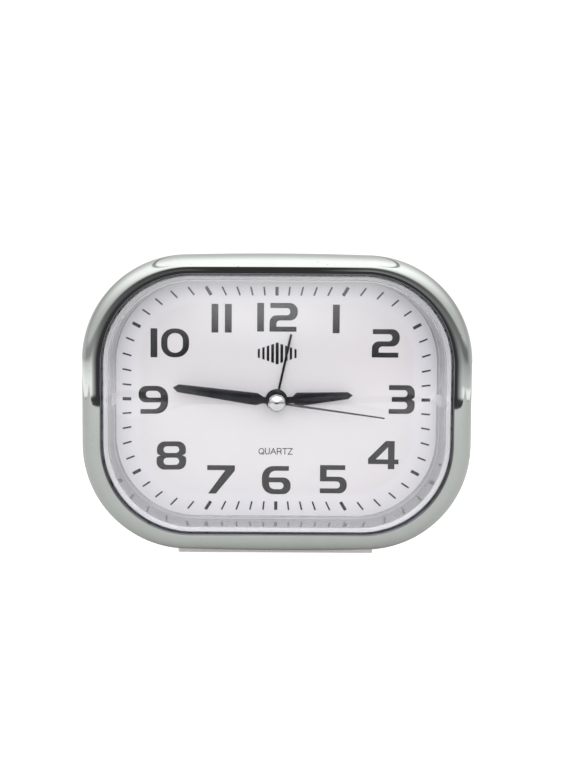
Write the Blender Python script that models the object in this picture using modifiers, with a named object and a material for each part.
"""Quartz alarm clock with a chromed bezel, as an assembly of separate parts, for Blender 4.5.

All lengths below are in millimetres and MM turns them into metres when a mesh is made.
The dial faces -Y and the clock stands on z = 0. Parts are laid out from the dial's centre:
a place (x, h) is x to the right of it, seen from the front, and h above it.
"""

from math import asin, atan2, cos, degrees, pi, radians, sin

import bmesh
import bpy
from mathutils import Matrix

MM = 0.001
GAP = 0.3

# Bezel outline and the lens opening inside it
BEZEL_SIZE = (150.0, 114.7)
LENS_SIZE = (130.3, 96.4)
BEZEL_CORNER = 40.8
LENS_CORNER = 33.4
CROWN = 0.5
FOOT_DROP = 5.0
CENTRE_HEIGHT = FOOT_DROP + BEZEL_SIZE[1] / 2
CORNER_STEPS = 7
CROWN_STEPS = 4

# Places along Y, front to back
CREST_Y = -31.0
LIP_Y = -30.25
WIDEST_Y = -21.5
BEZEL_BACK_Y = -13.5
LENS_FRONT_Y = -29.5
LENS_PANE_Y = -28.1
DIAL_Y = -15.9
DIAL_THICKNESS = 1.0
CASE_RIM_Y = -13.2
CASE_BACK_Y = 26.0
CASE_WALL = 2.0
DIAL_BACK_Y = DIAL_Y + DIAL_THICKNESS
BACK_INSIDE_Y = CASE_BACK_Y - CASE_WALL

# Outline fractions: 0 is the outside of the bezel, 1 the edge of the lens
OPENING_T = 0.97
FLANGE_T = 0.82
POCKET_T = 0.78

# Lens and dial
LENS_WALL = 1.6
LUG_HEIGHT = 4.6
LUG_FRONT_Y = DIAL_Y - 4.0
LUG_X = (LENS_SIZE[0] / 2 + GAP, LENS_SIZE[0] / 2 + 1.5)

# Hands: distance of each one's front and back face before the dial
ALARM_HAND_Y = (DIAL_Y - 2.6, DIAL_Y - 2.1)
HOUR_HAND_Y = (DIAL_Y - 4.8, DIAL_Y - 4.2)
MINUTE_HAND_Y = (DIAL_Y - 6.8, DIAL_Y - 6.2)
SECOND_HAND_Y = (DIAL_Y - 9.1, DIAL_Y - 8.6)
CAP_Y = (DIAL_Y - 11.6, DIAL_Y - 9.4)
CAP_RADIUS = 3.4
ALARM_ANGLE = 12.2
HOUR_ANGLE = 85.2
MINUTE_ANGLE = 277.7
SECOND_ANGLE = 97.8

# Coaxial pipes: outer and inner radius
ARBOR_RADIUS = 0.4
MINUTE_PIPE = (1.4, 0.65)
HOUR_PIPE = (2.3, 1.65)
ALARM_PIPE = (3.2, 2.55)
PIPE_FIT = 0.15

# Movement layers: front and back face of each
FRONT_PLATE_Y = (-12.7, -11.5)
ALARM_LAYER = (-11.1, -10.5)
LEAF_LAYER = (-10.2, -9.95)
HOUR_LAYER = (-9.6, -8.9)
MINUTE_LAYER = (-8.6, -7.9)
MIDDLE_PLATE_Y = (-7.5, -6.3)
CENTRE_LAYER = (-5.9, -5.1)
THIRD_LAYER = (-4.7, -3.9)
SECONDS_LAYER = (-3.5, -2.7)
MOTOR_LAYER = (-2.3, -1.5)
MAGNET_Y = (-1.0, 1.8)
STATOR_Y = (-0.4, 0.6)
CORE_Y = (0.9, 1.9)
BOARD_Y = (3.5, 4.5)
COVER_Y = (-11.2, 8.1)
COVER_WALL = 1.2
MOVEMENT_X = 29.0
MOVEMENT_H = (-16.0, 30.0)
EAR_PLACES = [(-32.0, -10.0), (32.0, -10.0), (-32.0, 24.0), (32.0, 24.0)]

# Gear pairs: module, pinion teeth, wheel teeth
TOOTH_TIP = 0.25
TOOTH_ROOT = 0.5
ADDENDUM = 0.7
DEDENDUM = 1.0
ROTOR_PAIR = (0.35, 6, 36)
SECONDS_PAIR = (0.5, 6, 30)
THIRD_PAIR = (0.35, 6, 45)
CENTRE_PAIR = (0.35 * 51 / 54, 6, 48)
CANNON_PAIR = (0.4, 10, 30)
HOUR_PAIR = (0.4, 8, 32)
ALARM_PAIR = (0.6, 8, 32)
PIVOT_RADIUS = 0.5
BEARING_RADIUS = 0.8
STEM_RADIUS = 1.5
STEM_HOLE = 1.9

# Back of the case
BAY_X = 30.0
BAY_H = (-34.5, -18.0)
BAY_FLOOR_Y = 9.0
BAY_WALL = 1.3
CELL_RADIUS = 7.2
CELL_X = (-27.2, 23.3)
CELL_AXIS = (16.5, -26.2)
BUZZER_AT = (38.0, 10.0)
SWITCH_AT = (-40.0, 2.0)
SWITCH_TRAVEL = 4.0
KNOB_RADIUS = 6.0
KNOB_Y = (26.4, 31.0)
FOOT_HALF_WIDTH = 39.0
FOOT_TOE_Y = -15.6
FOOT_TOE_HEIGHT = 4.6

# Screws that hold the case to the bezel, on the corner arcs of the outline
POST_INSET = 6.0
POST_RADIUS = 2.1
SCREW_RADIUS = 0.8

WHITE = ((0.86, 0.85, 0.84), 0.35, 0.0)
CHROME = ((0.85, 0.86, 0.87), 0.08, 1.0)
CLEAR = ((0.9, 0.92, 0.95), 0.05, 0.0)
BLACK = ((0.02, 0.02, 0.025), 0.4, 0.0)
STEEL = ((0.55, 0.55, 0.56), 0.3, 1.0)
BRASS = ((0.75, 0.55, 0.25), 0.3, 1.0)
COPPER = ((0.7, 0.3, 0.15), 0.35, 1.0)
NATURAL_PLASTIC = ((0.8, 0.78, 0.7), 0.5, 0.0)
BOARD_GREEN = ((0.05, 0.25, 0.1), 0.45, 0.0)
MAGNET_GREY = ((0.12, 0.12, 0.13), 0.5, 0.0)
RED = ((0.6, 0.05, 0.04), 0.5, 0.0)
CELL_BLUE = ((0.08, 0.15, 0.4), 0.3, 0.3)

for old in list(bpy.data.objects):
    bpy.data.objects.remove(old)


def new_collection(name):
    collection = bpy.data.collections.new(name)
    bpy.context.scene.collection.children.link(collection)
    return collection


PARTS = new_collection("alarm_clock")
CUTTERS = new_collection("cutters")
CLOCK = bpy.data.objects.new("clock", None)
PARTS.objects.link(CLOCK)
CLOCK.location = (0, 0, CENTRE_HEIGHT * MM)


def material(name, look):
    colour, roughness, metallic = look
    made = bpy.data.materials.new(name)
    made.use_nodes = True
    shader = made.node_tree.nodes["Principled BSDF"]
    shader.inputs["Base Color"].default_value = (*colour, 1)
    shader.inputs["Roughness"].default_value = roughness
    shader.inputs["Metallic"].default_value = metallic
    made.diffuse_color = (*colour, 1)
    return made


def place(name, mesh, look, at=(0, 0), turn=0.0):
    """Add a part, or a helper if look is None. Its origin is on the line along Y through `at`."""
    obj = bpy.data.objects.new(name, mesh)
    obj.parent = CLOCK
    obj.location = (at[0] * MM, 0, at[1] * MM)
    obj.rotation_euler = (0, radians(turn), 0)
    if look is None:
        CUTTERS.objects.link(obj)
        obj.hide_render = True
        obj.display_type = "WIRE"
    else:
        PARTS.objects.link(obj)
        mesh.materials.clear()
        mesh.materials.append(material(name, look))
    return obj


def mesh_from(bm, name, smooth_below=35):
    bmesh.ops.recalc_face_normals(bm, faces=bm.faces)
    mesh = bpy.data.meshes.new(name)
    bm.to_mesh(mesh)
    bm.free()
    mesh.shade_smooth()
    mesh.set_sharp_from_angle(angle=radians(smooth_below))
    return mesh


def boxes(name, look, spans, at=(0, 0), turn=0.0):
    """One or more separate boxes, each ((x0, x1), (y0, y1), (h0, h1))."""
    bm = bmesh.new()
    for span in spans:
        middle = [(low + high) / 2 * MM for low, high in span]
        size = [(high - low) * MM for low, high in span]
        matrix = Matrix.Translation(middle) @ Matrix.Diagonal((*size, 1))
        bmesh.ops.create_cube(bm, size=1, matrix=matrix)
    return place(name, mesh_from(bm, name), look, at, turn)


def rod(name, look, radius, ys, at=(0, 0), sides=12):
    """A cylinder along Y from ys[0] to ys[1]."""
    bm = bmesh.new()
    matrix = Matrix.Translation((0, (ys[0] + ys[1]) / 2 * MM, 0)) @ Matrix.Rotation(pi / 2, 4, "X")
    bmesh.ops.create_cone(bm, cap_ends=True, segments=sides, radius1=radius * MM,
                          radius2=radius * MM, depth=(ys[1] - ys[0]) * MM, matrix=matrix)
    return place(name, mesh_from(bm, name), look, at)


def turned(name, look, profile, at=(0, 0), steps=20, along="Y", ring=False):
    """A profile of (radius, distance along the axis), outer side front to back, turned by a Screw."""
    mesh = bpy.data.meshes.new(name)
    points = [(radius * MM, far * MM, 0) if along == "Y" else (far * MM, radius * MM, 0)
              for radius, far in reversed(profile)]
    edges = [(i, i + 1) for i in range(len(points) - 1)]
    if ring:
        edges.append((len(points) - 1, 0))
    mesh.from_pydata(points, edges, [])
    obj = place(name, mesh, look, at)
    screw = obj.modifiers.new("turn", "SCREW")
    screw.axis = along
    screw.steps = steps
    screw.render_steps = steps
    screw.use_merge_vertices = True
    screw.merge_threshold = 0.00001
    return obj


def plate(name, look, outline, ys, holes=(), at=(0, 0), turn=0.0):
    """A flat outline of (x, h) points, with holes, extruded from ys[0] to ys[1]."""
    curve = bpy.data.curves.new(name, "CURVE")
    curve.dimensions = "2D"
    curve.fill_mode = "BOTH"
    curve.extrude = (ys[1] - ys[0]) / 2 * MM
    for points in [outline, *holes]:
        spline = curve.splines.new("POLY")
        spline.points.add(len(points) - 1)
        for point, (x, h) in zip(spline.points, points):
            point.co = (x * MM, h * MM, 0, 1)
        spline.use_cyclic_u = True
    flat = bpy.data.objects.new(name + "_outline", curve)
    CUTTERS.objects.link(flat)
    bpy.context.view_layer.update()
    evaluated = flat.evaluated_get(bpy.context.evaluated_depsgraph_get())
    bm = bmesh.new()
    bm.from_mesh(bpy.data.meshes.new_from_object(evaluated))
    bpy.data.objects.remove(flat)
    bmesh.ops.remove_doubles(bm, verts=bm.verts, dist=0.000001)
    facing = Matrix.Translation((0, (ys[0] + ys[1]) / 2 * MM, 0)) @ Matrix.Rotation(pi / 2, 4, "X")
    bmesh.ops.transform(bm, matrix=facing, verts=bm.verts)
    return place(name, mesh_from(bm, name), look, at, turn)


def loft(name, look, loops, closed=False):
    """A skin over loops of equal length: capped at both ends, or joined from last to first."""
    bm = bmesh.new()
    rings = [[bm.verts.new([value * MM for value in point]) for point in loop] for loop in loops]
    pairs = list(zip(rings, rings[1:]))
    if closed:
        pairs.append((rings[-1], rings[0]))
    for one, other in pairs:
        for i in range(len(one)):
            j = (i + 1) % len(one)
            bm.faces.new((one[i], one[j], other[j], other[i]))
    if not closed:
        bm.faces.new(rings[0])
        bm.faces.new(rings[-1])
    return place(name, mesh_from(bm, name), look)


def combine(obj, others, operation):
    for other in others:
        boolean = obj.modifiers.new(f"{operation.lower()} {other.name}", "BOOLEAN")
        boolean.operation = operation
        boolean.object = other
    return obj


def unite(obj, *others):
    return combine(obj, others, "UNION")


def cut(obj, *others):
    return combine(obj, others, "DIFFERENCE")


def circle(radius, sides=16, at=(0, 0)):
    turns = [2 * pi * i / sides for i in range(sides)]
    return [(at[0] + radius * cos(a), at[1] + radius * sin(a)) for a in turns]


def rectangle(xs, hs):
    return [(xs[0], hs[0]), (xs[1], hs[0]), (xs[1], hs[1]), (xs[0], hs[1])]


def rounded_rectangle(half_width, half_height, corner, crown=0.0):
    """Points of the outline, anticlockwise from the right. The top and bottom rise by crown mid-way."""
    points = []
    for quarter, (sx, sh) in enumerate([(1, 1), (-1, 1), (-1, -1), (1, -1)]):
        middle = (sx * (half_width - corner), sh * (half_height - crown - corner))
        for step in range(CORNER_STEPS + 1):
            a = pi / 2 * (quarter + step / CORNER_STEPS)
            points.append((middle[0] + corner * cos(a), middle[1] + corner * sin(a)))
        if quarter in (0, 2):
            straight = half_width - corner
            for step in range(1, CROWN_STEPS):
                along = 1 - 2 * step / CROWN_STEPS
                rise = crown * (1 - along * along)
                points.append((sx * straight * along, sh * (half_height - crown + rise)))
    return points


def body_outline(t):
    """Outline t of the way from the outside of the bezel, 0, to the edge of the lens, 1, and beyond."""
    half_width = BEZEL_SIZE[0] / 2 - t * (BEZEL_SIZE[0] - LENS_SIZE[0]) / 2
    half_height = BEZEL_SIZE[1] / 2 - t * (BEZEL_SIZE[1] - LENS_SIZE[1]) / 2
    corner = BEZEL_CORNER - t * (BEZEL_CORNER - LENS_CORNER)
    return rounded_rectangle(half_width, half_height, corner, CROWN * max(0, 1 - t))


def body_loops(stations):
    return [[(x, y, h) for x, h in body_outline(t)] for t, y in stations]


def quarter_ellipse(start, end, steps):
    """Stations from start, where the surface runs along Y, round to end, where it runs across."""
    turns = [pi / 2 * step / steps for step in range(1, steps + 1)]
    return [(end[0] + (start[0] - end[0]) * cos(a), start[1] + (end[1] - start[1]) * sin(a))
            for a in turns]


def post_places():
    reach = (BEZEL_CORNER - POST_INSET) / 2 ** 0.5
    x = BEZEL_SIZE[0] / 2 - BEZEL_CORNER + reach
    h = BEZEL_SIZE[1] / 2 - CROWN - BEZEL_CORNER + reach
    return [(x, h), (-x, h), (-x, -h), (x, -h)]


def bezel():
    crest_t = 0.6
    outside = [(0.06, BEZEL_BACK_Y), (0, -17.5), (0, WIDEST_Y)]
    outside += quarter_ellipse((0, WIDEST_Y), (crest_t, CREST_Y), 7)
    lip = quarter_ellipse((OPENING_T, LIP_Y), (crest_t, CREST_Y), 4)[-2::-1]
    inside = [(OPENING_T, LIP_Y), (OPENING_T, -18.0), (POCKET_T, -18.0), (POCKET_T, -14.2)]
    groove = [(0.62, -14.2), (0.62, -21.0), (0.25, -21.0), (0.22, BEZEL_BACK_Y)]
    ring = loft("bezel", CHROME, body_loops(outside + lip + inside + groove), closed=True)
    for number, at in enumerate(post_places(), 1):
        unite(ring, rod(f"bezel_post_{number}", None, POST_RADIUS, (-22.0, -6.3), at))
        cut(ring, rod(f"bezel_pilot_{number}", None, SCREW_RADIUS + 0.25, (-17.0, -6.0), at))
    pocket = (LUG_X[0] - 1.0, LUG_X[1] + GAP)
    tall = (-LUG_HEIGHT / 2 - GAP, LUG_HEIGHT / 2 + GAP)
    for side in (-1, 1):
        xs = sorted((side * pocket[0], side * pocket[1]))
        cut(ring, boxes(f"bezel_lug_pocket_{side + 2}", None, [(xs, (LUG_FRONT_Y - GAP, -17.0), tall)]))


def lens():
    wall_t = 1 + LENS_WALL * 2 / (BEZEL_SIZE[0] - LENS_SIZE[0])
    back = DIAL_Y - GAP
    outside = [(1.06, LENS_FRONT_Y), (1.0, LENS_FRONT_Y + 0.5), (1.0, back - 1.5)]
    flange = [(FLANGE_T, back - 1.5), (FLANGE_T, back)]
    inside = [(wall_t, back), (wall_t, LENS_PANE_Y)]
    box = loft("lens", CLEAR, body_loops(outside + flange + inside))
    tall = (-LUG_HEIGHT / 2 - GAP, LUG_HEIGHT / 2 + GAP)
    for side in (-1, 1):
        xs = sorted((side * (LUG_X[0] - 0.2), side * 70.0))
        cut(box, boxes(f"lens_notch_{side + 2}", None, [(xs, (back - 2.0, back + 1.0), tall)]))


def dial():
    hole = circle(ALARM_PIPE[0] + GAP, 24)
    face = plate("dial", WHITE, body_outline(FLANGE_T), (DIAL_Y, DIAL_BACK_Y), [hole])
    tall = (-LUG_HEIGHT / 2, LUG_HEIGHT / 2)
    for side in (-1, 1):
        xs = sorted((side * LUG_X[0], side * LUG_X[1]))
        unite(face, boxes(f"dial_lug_{side + 2}", None, [(xs, (LUG_FRONT_Y, DIAL_Y + 0.5), tall)]))
    for number, at in enumerate(EAR_PLACES, 1):
        unite(face, rod(f"dial_boss_{number}", None, 2.4, (DIAL_Y + 0.5, FRONT_PLATE_Y[0] - GAP), at))
        cut(face, rod(f"dial_pilot_{number}", None, 0.95, (DIAL_BACK_Y - 0.4, -11.0), at))


def case_stations(extra_t, extra_y):
    """Outside of the shell from its front rim to its flat back, moved in by the wall."""
    shape = [(0.10, -5), (0.22, 1), (0.5, 7), (0.85, 12.5), (1.2, 17.5), (1.5, 21.5), (1.7, 24.3),
             (1.95, CASE_BACK_Y)]
    return [(t + extra_t, y - extra_y) for t, y in shape]


def foot_outline(inset):
    """Side view of the foot as (y, z from the dial's centre)."""
    floor = inset - CENTRE_HEIGHT
    top = 18.0 - CENTRE_HEIGHT
    return [(-12.5 + inset, floor), (22.0 - inset, floor), (19.5 - inset, top), (-12.5 + inset, top)]


def foot_block(name, inset):
    half = FOOT_HALF_WIDTH - inset
    loops = [[(x, y, h) for y, h in foot_outline(inset)] for x in (-half, half)]
    return loft(name, None, loops)


def rear_case():
    skin = [(0.07, CASE_RIM_Y), *case_stations(0, 0)]
    hollow = [(0.29, CASE_RIM_Y - 1), *case_stations(0.21, CASE_WALL)]
    shell = loft("rear_case", WHITE, body_loops(skin))
    cavity = loft("case_cavity", None, body_loops(hollow))
    unite(cavity, foot_block("foot_cavity", 2.0))
    far = CASE_BACK_Y + 10
    for number, at in enumerate(post_places(), 1):
        cut(cavity, rod(f"case_post_{number}", None, 3.8, (-6.0, far), at, 16))
    for number, (sx, sh) in enumerate([(-1, -1), (1, -1), (-1, 1), (1, 1)], 1):
        pillar = rod(f"dial_pillar_{number}", None, 1.8, (DIAL_BACK_Y + GAP, far), (62 * sx, 14 * sh))
        cut(cavity, pillar)
    bay_xs = (-BAY_X - BAY_WALL, BAY_X + BAY_WALL)
    bay_hs = (BAY_H[0] - BAY_WALL, BAY_H[1] + BAY_WALL)
    cut(cavity, boxes("bay_block", None, [(bay_xs, (BAY_FLOOR_Y - BAY_WALL, far), bay_hs)]))
    middle = SWITCH_AT[0] + SWITCH_TRAVEL / 2
    board_pins = [rod(f"switch_pin_{n}", None, 1.2, (20.9, far), (middle + 10 * s, SWITCH_AT[1]))
                  for n, s in ((1, -1), (2, 1))]
    cut(cavity, *board_pins)
    toe = [((-FOOT_HALF_WIDTH, FOOT_HALF_WIDTH), (FOOT_TOE_Y, CASE_RIM_Y + 2),
            (-CENTRE_HEIGHT, FOOT_TOE_HEIGHT - CENTRE_HEIGHT))]
    unite(shell, foot_block("foot", 0.0), boxes("foot_toe", None, toe))
    cut(shell, cavity)
    for number, at in enumerate(post_places(), 1):
        cut(shell, rod(f"screw_recess_{number}", None, 2.7, (-3.2, far), at, 16))
        cut(shell, rod(f"screw_hole_{number}", None, SCREW_RADIUS + 0.4, (-7.0, -3.0), at))
    bay = [((-BAY_X, BAY_X), (BAY_FLOOR_Y, far), BAY_H)]
    cut(shell, boxes("bay_inside", None, bay))
    slots = [((x - 0.8, x + 0.8), (BAY_FLOOR_Y - 3, BAY_FLOOR_Y + 1), (-28.5, -23.9))
             for x in (-28.6, 29.3)]
    cut(shell, boxes("bay_slots", None, slots))
    cut(shell, rod("time_stem_hole", None, STEM_HOLE, (20, far), TIME_SET_AT, 16))
    cut(shell, rod("alarm_stem_hole", None, STEM_HOLE, (20, far), ALARM_SET_AT, 16))
    run = (SWITCH_AT[0] - 1.9, SWITCH_AT[0] + 1.9 + SWITCH_TRAVEL)
    cut(shell, boxes("switch_slot", None, [(run, (22, far), (SWITCH_AT[1] - 1.4, SWITCH_AT[1] + 1.4))]))
    sound = [((BUZZER_AT[0] - 7, BUZZER_AT[0] + 7), (23, far), (h - 0.6, h + 0.6))
             for h in (BUZZER_AT[1] + 3 * row for row in (-2, -1, 0, 1, 2))]
    cut(shell, boxes("sound_slots", None, sound))


def battery_door():
    lid = boxes("battery_door", WHITE, [((-BAY_X + GAP, BAY_X - GAP), (24.2, CASE_BACK_Y),
                                         (BAY_H[0] + GAP, BAY_H[1] - GAP))])
    grip = [((-5, 5), (25.2, 27.0), (h - 0.4, h + 0.4)) for h in (-21.0, -23.0, -25.0)]
    cut(lid, boxes("door_grip", None, grip))


def case_screws():
    profile = [(0, -13.5), (SCREW_RADIUS * 0.6, -13.2), (SCREW_RADIUS, -12.0), (SCREW_RADIUS, -2.9),
               (2.2, -2.9), (2.2, -2.0), (1.5, -1.4), (0, -1.2)]
    for number, at in enumerate(post_places(), 1):
        turned(f"case_screw_{number}", STEEL, profile, at, 12)


def movement_screws():
    head = FRONT_PLATE_Y[1] + GAP
    profile = [(0, DIAL_BACK_Y - 0.1), (0.7, DIAL_BACK_Y + 0.1), (0.7, head), (1.7, head),
               (1.7, head + 0.7), (0, head + 1.1)]
    for number, at in enumerate(EAR_PLACES, 1):
        turned(f"movement_screw_{number}", STEEL, profile, at, 12)


def blade(neck, shoulder, tip_shoulder, length, neck_width, width, tip_width):
    """Half outline of a tapered hand with a chamfered shoulder and a pointed tip, then its mirror."""
    right = [(neck_width / 2, neck), (width / 2, shoulder), (tip_width / 2, tip_shoulder)]
    return right + [(0, length)] + [(-x, h) for x, h in reversed(right)]


def hub_with_blade(hub_radius, right_to_left):
    """Anticlockwise outline: up one side of the blade, down the other, then round the hub."""
    spread = asin(right_to_left[0][0] / hub_radius)
    steps = 14
    turns = [pi / 2 + spread + (2 * pi - 2 * spread) * i / steps for i in range(steps + 1)]
    return right_to_left + [(hub_radius * cos(a), hub_radius * sin(a)) for a in turns]


def hands():
    alarm = [(0.5, 26.4), (0.3, 26.8), (-0.3, 26.8), (-0.5, 26.4)]
    plate("alarm_hand", BLACK, hub_with_blade(4.4, alarm), ALARM_HAND_Y,
          [circle(ALARM_PIPE[0] + PIPE_FIT, 24)], turn=ALARM_ANGLE)
    hour = blade(6.4, 8.0, 28.0, 29.8, 2.6, 5.4, 2.7)
    plate("hour_hand", BLACK, hub_with_blade(3.8, hour), HOUR_HAND_Y,
          [circle(HOUR_PIPE[0] + PIPE_FIT, 24)], turn=HOUR_ANGLE)
    minute = blade(5.4, 7.8, 38.5, 40.6, 2.6, 4.8, 3.1)
    plate("minute_hand", BLACK, hub_with_blade(3.0, minute), MINUTE_HAND_Y,
          [circle(MINUTE_PIPE[0] + PIPE_FIT, 20)], turn=MINUTE_ANGLE)
    second = [(0.45, 2.0), (0.28, 41.8), (-0.28, 41.8), (-0.45, 2.0)]
    tail = [(-0.45, -2.0), (-0.9, -6.0), (-0.9, -10.5), (0.9, -10.5), (0.9, -6.0), (0.45, -2.0)]
    left = [(-cos(a) * 2.2, sin(a) * 2.2) for a in map(radians, (50, 20, -20, -50))]
    right = [(-x, h) for x, h in reversed(left)]
    plate("second_hand", BLACK, second + left + tail + right, SECOND_HAND_Y,
          [circle(ARBOR_RADIUS + PIPE_FIT, 12)], turn=SECOND_ANGLE)
    dome = [(CAP_RADIUS * sin(a), CAP_Y[0] + (CAP_Y[1] - 0.6 - CAP_Y[0]) * (1 - cos(a)))
            for a in (pi / 2 * step / 6 for step in range(7))]
    turned("second_hand_cap", CHROME, dome + [(CAP_RADIUS, CAP_Y[1]), (0, CAP_Y[1])], steps=24)


def gear_outline(module, teeth, tooth_at):
    """Trapezium teeth with play, one tooth centred on the angle tooth_at in degrees."""
    pitch_radius = module * teeth / 2
    tip, root = pitch_radius + ADDENDUM * module, pitch_radius - DEDENDUM * module
    half_pitch = pi / teeth
    corners = [(root, -TOOTH_ROOT), (tip, -TOOTH_TIP), (tip, TOOTH_TIP), (root, TOOTH_ROOT)]
    points = []
    for tooth in range(teeth):
        middle = radians(tooth_at) + 2 * half_pitch * tooth
        points += [(r * cos(middle + w * half_pitch), r * sin(middle + w * half_pitch))
                   for r, w in corners]
    return points


def distance(pair):
    return pair[0] * (pair[1] + pair[2]) / 2


def beside(start, bearing, reach):
    return (start[0] + reach * cos(radians(bearing)), start[1] + reach * sin(radians(bearing)))


def meshed(teeth, at, mate_teeth, mate_at, mate_tooth_at):
    """Angle of a tooth of this gear that puts its gap where its mate's tooth is."""
    bearing = degrees(atan2(at[1] - mate_at[1], at[0] - mate_at[0]))
    lead = (mate_tooth_at - bearing) % (360 / mate_teeth)
    return bearing + 180 + 180 / teeth - lead * mate_teeth / teeth


CENTRE = (0.0, 0.0)
THIRD_AT = beside(CENTRE, 60, distance(THIRD_PAIR))
INTERMEDIATE_AT = beside(CENTRE, 170, distance(SECONDS_PAIR))
ROTOR_AT = beside(INTERMEDIATE_AT, 150, distance(ROTOR_PAIR))
MINUTE_WHEEL_AT = beside(CENTRE, -30, distance(CANNON_PAIR))
TIME_SET_AT = beside(MINUTE_WHEEL_AT, -6, distance(CANNON_PAIR))
ALARM_SET_AT = beside(CENTRE, 220, distance(ALARM_PAIR))
PIVOT_FRONT_Y = MIDDLE_PLATE_Y[0] + 0.3
PIVOT_BACK_Y = COVER_Y[1] - COVER_WALL + 0.8


def going_train():
    module, pinion, wheel = SECONDS_PAIR
    seconds = plate("seconds_wheel", NATURAL_PLASTIC, gear_outline(module, wheel, 0), SECONDS_LAYER)
    third_module, third_pinion, third_teeth = THIRD_PAIR
    unite(seconds,
          plate("seconds_pinion", None, gear_outline(third_module, third_pinion, 0),
                (THIRD_LAYER[0], SECONDS_LAYER[0] + 0.2)),
          rod("seconds_arbor", None, ARBOR_RADIUS, (SECOND_HAND_Y[0], PIVOT_BACK_Y)))

    intermediate_phase = meshed(pinion, INTERMEDIATE_AT, wheel, CENTRE, 0)
    intermediate = plate("intermediate_wheel", NATURAL_PLASTIC,
                         gear_outline(ROTOR_PAIR[0], ROTOR_PAIR[2], 0), MOTOR_LAYER, at=INTERMEDIATE_AT)
    unite(intermediate,
          plate("intermediate_pinion", None, gear_outline(module, pinion, intermediate_phase),
                (SECONDS_LAYER[0], MOTOR_LAYER[0] + 0.2), at=INTERMEDIATE_AT),
          rod("intermediate_arbor", None, PIVOT_RADIUS, (PIVOT_FRONT_Y, PIVOT_BACK_Y), INTERMEDIATE_AT))

    rotor_phase = meshed(ROTOR_PAIR[1], ROTOR_AT, ROTOR_PAIR[2], INTERMEDIATE_AT, 0)
    rotor = plate("rotor", NATURAL_PLASTIC, gear_outline(ROTOR_PAIR[0], ROTOR_PAIR[1], rotor_phase),
                  MOTOR_LAYER, at=ROTOR_AT)
    unite(rotor, rod("rotor_arbor", None, PIVOT_RADIUS, (PIVOT_FRONT_Y, PIVOT_BACK_Y), ROTOR_AT))
    magnet = [(2.3, MAGNET_Y[0]), (2.3, MAGNET_Y[1]), (0.65, MAGNET_Y[1]), (0.65, MAGNET_Y[0])]
    turned("rotor_magnet", MAGNET_GREY, magnet, ROTOR_AT, 16, ring=True)

    third_phase = meshed(third_teeth, THIRD_AT, third_pinion, CENTRE, 0)
    third = plate("third_wheel", NATURAL_PLASTIC, gear_outline(third_module, third_teeth, third_phase),
                  THIRD_LAYER, at=THIRD_AT)
    unite(third,
          plate("third_pinion", None, gear_outline(CENTRE_PAIR[0], CENTRE_PAIR[1], 0),
                (CENTRE_LAYER[0], THIRD_LAYER[0] + 0.2), at=THIRD_AT),
          rod("third_arbor", None, PIVOT_RADIUS, (PIVOT_FRONT_Y, PIVOT_BACK_Y), THIRD_AT))

    centre_phase = meshed(CENTRE_PAIR[2], CENTRE, CENTRE_PAIR[1], THIRD_AT, 0)
    plate("centre_wheel", BRASS, gear_outline(CENTRE_PAIR[0], CENTRE_PAIR[2], centre_phase),
          CENTRE_LAYER, [circle(1.2, 16)])


def motion_work():
    module, cannon_teeth, minute_teeth = CANNON_PAIR
    hour_module, minute_pinion, hour_teeth = HOUR_PAIR
    bore = circle(MINUTE_PIPE[1] + 0.1, 12)
    cannon = plate("cannon_pinion", BRASS, gear_outline(module, cannon_teeth, 0), MINUTE_LAYER, [bore])
    front = [(MINUTE_PIPE[0], MINUTE_HAND_Y[0]), (MINUTE_PIPE[0], MINUTE_LAYER[0] + 0.2),
             (MINUTE_PIPE[1], MINUTE_LAYER[0] + 0.2), (MINUTE_PIPE[1], MINUTE_HAND_Y[0])]
    back = [(1.0, MINUTE_LAYER[1] - 0.2), (1.0, CENTRE_LAYER[1]),
            (MINUTE_PIPE[1], CENTRE_LAYER[1]), (MINUTE_PIPE[1], MINUTE_LAYER[1] - 0.2)]
    unite(cannon, turned("minute_pipe", None, front, steps=12, ring=True),
          turned("clutch_pipe", None, back, steps=12, ring=True))

    wheel_phase = meshed(minute_teeth, MINUTE_WHEEL_AT, cannon_teeth, CENTRE, 0)
    stud_bore = circle(0.9, 12)
    wheel = plate("minute_wheel", NATURAL_PLASTIC, gear_outline(module, minute_teeth, wheel_phase),
                  MINUTE_LAYER, [stud_bore], at=MINUTE_WHEEL_AT)
    unite(wheel, plate("minute_pinion", None, gear_outline(hour_module, minute_pinion, 0),
                       (HOUR_LAYER[0], MINUTE_LAYER[0] + 0.2), [stud_bore], at=MINUTE_WHEEL_AT))

    hour_phase = meshed(hour_teeth, CENTRE, minute_pinion, MINUTE_WHEEL_AT, 0)
    hour = plate("hour_wheel", NATURAL_PLASTIC, gear_outline(hour_module, hour_teeth, hour_phase),
                 HOUR_LAYER, [circle(HOUR_PIPE[1] + 0.1, 20)])
    pipe = [(HOUR_PIPE[0], HOUR_HAND_Y[0]), (HOUR_PIPE[0], HOUR_LAYER[0] + 0.2),
            (HOUR_PIPE[1], HOUR_LAYER[0] + 0.2), (HOUR_PIPE[1], HOUR_HAND_Y[0])]
    unite(hour, turned("hour_pipe", None, pipe, steps=20, ring=True))

    set_phase = meshed(cannon_teeth, TIME_SET_AT, minute_teeth, MINUTE_WHEEL_AT, wheel_phase)
    stem("time_set_stem", TIME_SET_AT, gear_outline(module, cannon_teeth, set_phase), MINUTE_LAYER)


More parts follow.
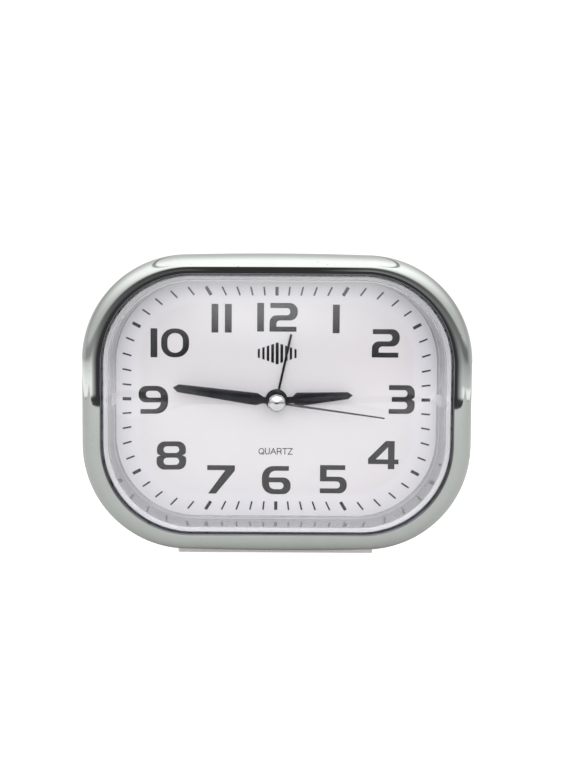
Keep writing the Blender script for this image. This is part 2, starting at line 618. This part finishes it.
def alarm_work():
    module, pinion, teeth = ALARM_PAIR
    wheel = plate("alarm_wheel", NATURAL_PLASTIC, gear_outline(module, teeth, 0), ALARM_LAYER,
                  [circle(ALARM_PIPE[1] + 0.1, 24)])
    pipe = [(ALARM_PIPE[0], ALARM_HAND_Y[0]), (ALARM_PIPE[0], ALARM_LAYER[0] + 0.2),
            (ALARM_PIPE[1], ALARM_LAYER[0] + 0.2), (ALARM_PIPE[1], ALARM_HAND_Y[0])]
    unite(wheel, turned("alarm_pipe", None, pipe, steps=24, ring=True))
    phase = meshed(pinion, ALARM_SET_AT, teeth, CENTRE, 0)
    stem("alarm_set_stem", ALARM_SET_AT, gear_outline(module, pinion, phase), ALARM_LAYER)
    spans = [((7.4, 24.0), LEAF_LAYER, (-1.2, 1.2)), ((21.5, 24.0), (LEAF_LAYER[0], -7.8), (-1.2, 1.2))]
    leaf = boxes("alarm_contact_spring", BRASS, spans[:1], turn=-150)
    unite(leaf, boxes("alarm_contact_foot", None, spans[1:], turn=-150))


def stem(name, at, teeth, layer):
    """Setting stem: a pinion in its layer, a pivot in the front plate and a shaft out to the knob."""
    shaft = plate(name, STEEL, teeth, layer, at=at)
    unite(shaft, rod(name + "_shaft", None, STEM_RADIUS, (layer[0] + 0.2, KNOB_Y[1] - 1.5), at),
          rod(name + "_pivot", None, PIVOT_RADIUS, (FRONT_PLATE_Y[0] + 0.4, layer[0] + 0.4), at))


def knobs():
    bore = STEM_RADIUS + PIPE_FIT
    profile = [(bore, KNOB_Y[0]), (KNOB_RADIUS - 0.6, KNOB_Y[0]), (KNOB_RADIUS, KNOB_Y[0] + 0.6),
               (KNOB_RADIUS - 0.3, KNOB_Y[1] - 0.6), (KNOB_RADIUS - 0.9, KNOB_Y[1]), (0, KNOB_Y[1]),
               (0, KNOB_Y[1] - 1.2), (bore, KNOB_Y[1] - 1.2)]
    turned("time_set_knob", WHITE, profile, TIME_SET_AT, 24, ring=True)
    turned("alarm_set_knob", WHITE, profile, ALARM_SET_AT, 24, ring=True)


def movement_front_plate():
    xs, hs = (-MOVEMENT_X, MOVEMENT_X), MOVEMENT_H
    ear = 3.0
    outline = [(xs[0], hs[0]), (xs[1], hs[0])]
    for h in (EAR_PLACES[1][1], EAR_PLACES[3][1]):
        outline += [(xs[1], h - ear), (xs[1] + 6.5, h - ear), (xs[1] + 6.5, h + ear), (xs[1], h + ear)]
    outline += [(xs[1], hs[1]), (xs[0], hs[1])]
    for h in (EAR_PLACES[2][1], EAR_PLACES[0][1]):
        outline += [(xs[0], h + ear), (xs[0] - 6.5, h + ear), (xs[0] - 6.5, h - ear), (xs[0], h - ear)]
    holes = [circle(ALARM_PIPE[0] + GAP, 24)]
    holes += [circle(BEARING_RADIUS, 12, at) for at in (TIME_SET_AT, ALARM_SET_AT)]
    holes += [circle(0.95, 12, at) for at in EAR_PLACES]
    plate("movement_front_plate", NATURAL_PLASTIC, outline, FRONT_PLATE_Y, holes)


def movement_middle_plate():
    inside = 1.5
    xs = (-MOVEMENT_X + inside, MOVEMENT_X - inside)
    hs = (MOVEMENT_H[0] + inside, MOVEMENT_H[1] - inside)
    holes = [circle(1.35, 16)]
    holes += [circle(STEM_HOLE, 16, at) for at in (TIME_SET_AT, ALARM_SET_AT)]
    holes += [circle(BEARING_RADIUS, 12, at) for at in (THIRD_AT, INTERMEDIATE_AT, ROTOR_AT)]
    middle = plate("movement_middle_plate", NATURAL_PLASTIC, rectangle(xs, hs), MIDDLE_PLATE_Y, holes)
    stud_ys = (HOUR_LAYER[0], MIDDLE_PLATE_Y[0] + 0.5)
    unite(middle, rod("minute_wheel_stud", None, 0.7, stud_ys, MINUTE_WHEEL_AT))
    pillar_ys = (FRONT_PLATE_Y[1] + GAP, MIDDLE_PLATE_Y[0] + 0.5)
    near_edge = 2.5
    corners = [(x, h) for x in (xs[0] + near_edge, xs[1] - near_edge)
               for h in (hs[0] + near_edge, hs[1] - near_edge)]
    for number, at in enumerate(corners, 1):
        unite(middle, rod(f"plate_pillar_{number}", None, 1.5, pillar_ys, at))


def movement_cover():
    xs, hs = (-MOVEMENT_X, MOVEMENT_X), MOVEMENT_H
    block = boxes("movement_cover", NATURAL_PLASTIC, [(xs, COVER_Y, hs)])
    inner = [((xs[0] + COVER_WALL, xs[1] - COVER_WALL), (COVER_Y[0] - 1, COVER_Y[1] - COVER_WALL),
              (hs[0] + COVER_WALL, hs[1] - COVER_WALL))]
    cut(block, boxes("cover_inside", None, inner))
    wire_slot = [((-25, 25), (COVER_Y[1] - 2, COVER_Y[1] + 1), (17.5, 24.0))]
    cut(block, boxes("wire_slot", None, wire_slot))
    for name, at, radius in (("time", TIME_SET_AT, STEM_HOLE), ("alarm", ALARM_SET_AT, STEM_HOLE),
                             ("third", THIRD_AT, BEARING_RADIUS), ("rotor", ROTOR_AT, BEARING_RADIUS),
                             ("intermediate", INTERMEDIATE_AT, BEARING_RADIUS),
                             ("seconds", CENTRE, BEARING_RADIUS)):
        cut(block, rod(f"cover_{name}_hole", None, radius, (COVER_Y[1] - 2, COVER_Y[1] + 1), at))


def motor():
    x, h = ROTOR_AT
    coil_x = -24.2
    hs = (h - 13.5, h + 13.5)
    outline = [(coil_x - 2, hs[0]), (x + 4.2, hs[0]), (x + 4.2, hs[1]), (coil_x - 2, hs[1]),
               (coil_x - 2, hs[1] - 4), (x - 4.2, hs[1] - 4), (x - 4.2, hs[0] + 4),
               (coil_x - 2, hs[0] + 4)]
    plate("stator", STEEL, outline, STATOR_Y, [circle(2.8, 16, ROTOR_AT)])
    across = (coil_x - 1.2, coil_x + 1.2)
    boxes("coil_core", STEEL, [(across, CORE_Y, hs)])
    middle_y = (CORE_Y[0] + CORE_Y[1]) / 2
    reach = 9.0
    slot = [((across[0] - GAP, across[1] + GAP), (CORE_Y[0] - GAP, CORE_Y[1] + GAP), (h - 12, h + 12))]
    flanges = [((coil_x - 3.3, coil_x + 3.3), (middle_y - 3.3, middle_y + 3.3), span)
               for span in ((h - reach, h - reach + 1), (h + reach - 1, h + reach))]
    barrel = [((coil_x - 2.0, coil_x + 2.0), (middle_y - 1.3, middle_y + 1.3),
               (h - reach + 0.5, h + reach - 0.5))]
    bobbin = boxes("coil_bobbin", NATURAL_PLASTIC, barrel)
    unite(bobbin, boxes("bobbin_flange_low", None, flanges[:1]),
          boxes("bobbin_flange_high", None, flanges[1:]))
    cut(bobbin, boxes("bobbin_bore", None, slot))
    turns = (h - reach + 1 + GAP, h + reach - 1 - GAP)
    wound = ((coil_x - 3.1, coil_x + 3.1), (middle_y - 3.0, middle_y + 3.0), turns)
    winding = boxes("coil_winding", COPPER, [wound])
    window = [((coil_x - 2.2, coil_x + 2.2), (middle_y - 1.5, middle_y + 1.5), (h - 12, h + 12))]
    cut(winding, boxes("winding_bore", None, window))


def electronics():
    boxes("circuit_board", BOARD_GREEN, [((-26.5, 26.5), BOARD_Y, (19.0, 28.0))])
    front = BOARD_Y[0] - GAP
    blob = [(0, front - 1.2), (2.0, front - 1.0), (3.2, front - 0.4), (3.5, front), (0, front)]
    turned("ic_chip", BLACK, blob, (0, 23.5), 16)
    can = [(0, 8.0), (1.2, 8.0), (1.2, 14.4), (0.8, 15.0), (0, 15.0)]
    crystal = turned("quartz_crystal", STEEL, can, (0, 23.5), 12, "X")
    crystal.location.y = (front - 1.3) * MM


def battery():
    axis_y, axis_h = CELL_AXIS
    nub = CELL_X[0] + 1.0
    profile = [(0, CELL_X[0]), (2.6, CELL_X[0]), (2.6, nub), (CELL_RADIUS - 0.4, nub),
               (CELL_RADIUS, nub + 0.5), (CELL_RADIUS, CELL_X[1] - 0.4),
               (CELL_RADIUS - 0.4, CELL_X[1]), (0, CELL_X[1])]
    cell = turned("battery", CELL_BLUE, profile, (0, axis_h), 24, "X")
    cell.location.y = axis_y * MM
    for name, x in (("positive", -28.6), ("negative", 29.3)):
        hs = (axis_h - 5, axis_h + 5)
        leaf_xs = (x - 0.3, x + 0.3)
        contact = boxes(f"battery_contact_{name}", STEEL, [(leaf_xs, (BAY_FLOOR_Y + GAP, 23), hs)])
        tab = (leaf_xs, (BAY_FLOOR_Y - 3.0, BAY_FLOOR_Y + 1), (axis_h - 1.8, axis_h + 1.8))
        unite(contact, boxes(f"battery_tab_{name}", None, [tab]))
    battery_spring()


def tube(name, look, points, radius, resolution=2):
    curve = bpy.data.curves.new(name, "CURVE")
    curve.dimensions = "3D"
    curve.bevel_depth = radius * MM
    curve.bevel_resolution = resolution
    curve.use_fill_caps = True
    spline = curve.splines.new("POLY")
    spline.points.add(len(points) - 1)
    for point, place_mm in zip(spline.points, points):
        point.co = (*[value * MM for value in place_mm], 1)
    return place(name, curve, look)


def battery_spring():
    axis_y, axis_h = CELL_AXIS
    start, end = CELL_X[1] + 0.7, 28.4
    turns, each = 3, 10
    points = []
    for step in range(turns * each + 1):
        share = step / (turns * each)
        a = 2 * pi * turns * share
        radius = 2.4 + 2.0 * share
        points.append((start + (end - start) * share, axis_y + radius * cos(a),
                       axis_h + radius * sin(a)))
    tube("battery_spring", STEEL, points, 0.35, 1)


def smooth_route(corners, each=4):
    """Points on a Catmull-Rom curve through the corners."""
    ends = [corners[0], *corners, corners[-1]]
    points = []
    for a, b, c, d in zip(ends, ends[1:], ends[2:], ends[3:]):
        for step in range(each):
            s = step / each
            points.append(tuple(
                0.5 * (2 * q + (r - p) * s + (2 * p - 5 * q + 4 * r - t) * s * s
                       + (3 * q - p - 3 * r + t) * s ** 3)
                for p, q, r, t in zip(a, b, c, d)))
    return points + [corners[-1]]


def leads():
    board = BOARD_Y[1] + GAP
    tab_y = BAY_FLOOR_Y - 3.9
    routes = {
        "lead_battery_positive": (RED, [(-28.6, tab_y, -26.2), (-31.4, 4.0, -21.0), (-32.6, 5.0, -4.0),
                                        (-31.6, 9.6, 12.0), (-24.0, 10.2, 20.0), (-20.0, board, 21.0)]),
        "lead_battery_negative": (BLACK, [(29.3, tab_y, -26.2), (31.6, 4.0, -21.0), (32.6, 5.0, -4.0),
                                          (31.6, 9.6, 12.0), (24.0, 10.2, 20.0), (20.0, board, 21.0)]),
        "lead_buzzer_1": (RED, [(35.0, 16.3, 14.0), (26.0, 14.5, 21.0), (14.0, 12.0, 23.0),
                                (12.0, board, 21.0)]),
        "lead_buzzer_2": (BLACK, [(35.0, 16.3, 8.0), (22.0, 14.0, 14.0), (8.0, 12.0, 17.5),
                                  (6.0, board, 21.0)]),
        "lead_switch_1": (RED, [(-42.0, 18.9, 6.0), (-32.0, 15.0, 18.0), (-15.0, 12.0, 23.0),
                                (-12.0, board, 21.0)]),
        "lead_switch_2": (BLACK, [(-34.0, 18.9, 6.0), (-22.0, 15.0, 13.0), (-8.0, 12.0, 17.5),
                                  (-6.0, board, 21.0)]),
    }
    for name, (look, corners) in routes.items():
        tube(name, look, smooth_route(corners), 0.5)


def alarm_parts():
    x, h = BUZZER_AT
    case = [(0, 16.8), (10.4, 16.8), (11.0, 17.4), (11.0, 23.1), (10.4, 23.7), (0, 23.7)]
    turned("buzzer", BLACK, case, (x, h), 24)
    x, h = SWITCH_AT
    hs = (h - 2.8, h + 2.8)
    button = boxes("alarm_switch", BLACK, [((-4, 4), (26.3, 28.2), (-2.8, 2.8))], at=SWITCH_AT)
    unite(button,
          boxes("switch_neck", None, [((-1.5, 1.5), (22.5, 27.0), (-1.0, 1.0))], at=SWITCH_AT),
          boxes("switch_keeper", None, [((-3, 3), (21.6, 23.6), (-2.4, 2.4))], at=SWITCH_AT),
          boxes("switch_ridge", None, [((-0.6, 0.6), (28.0, 29.0), (-2.4, 2.4))], at=SWITCH_AT))
    boxes("switch_board", BOARD_GREEN, [((x - 10, x + 14), (19.4, 20.6), (hs[0] - 2, hs[1] + 2))])


bezel()
lens()
dial()
rear_case()
battery_door()
case_screws()
movement_screws()
hands()
going_train()
motion_work()
alarm_work()
knobs()
movement_front_plate()
movement_middle_plate()
movement_cover()
motor()
electronics()
battery()
leads()
alarm_parts()
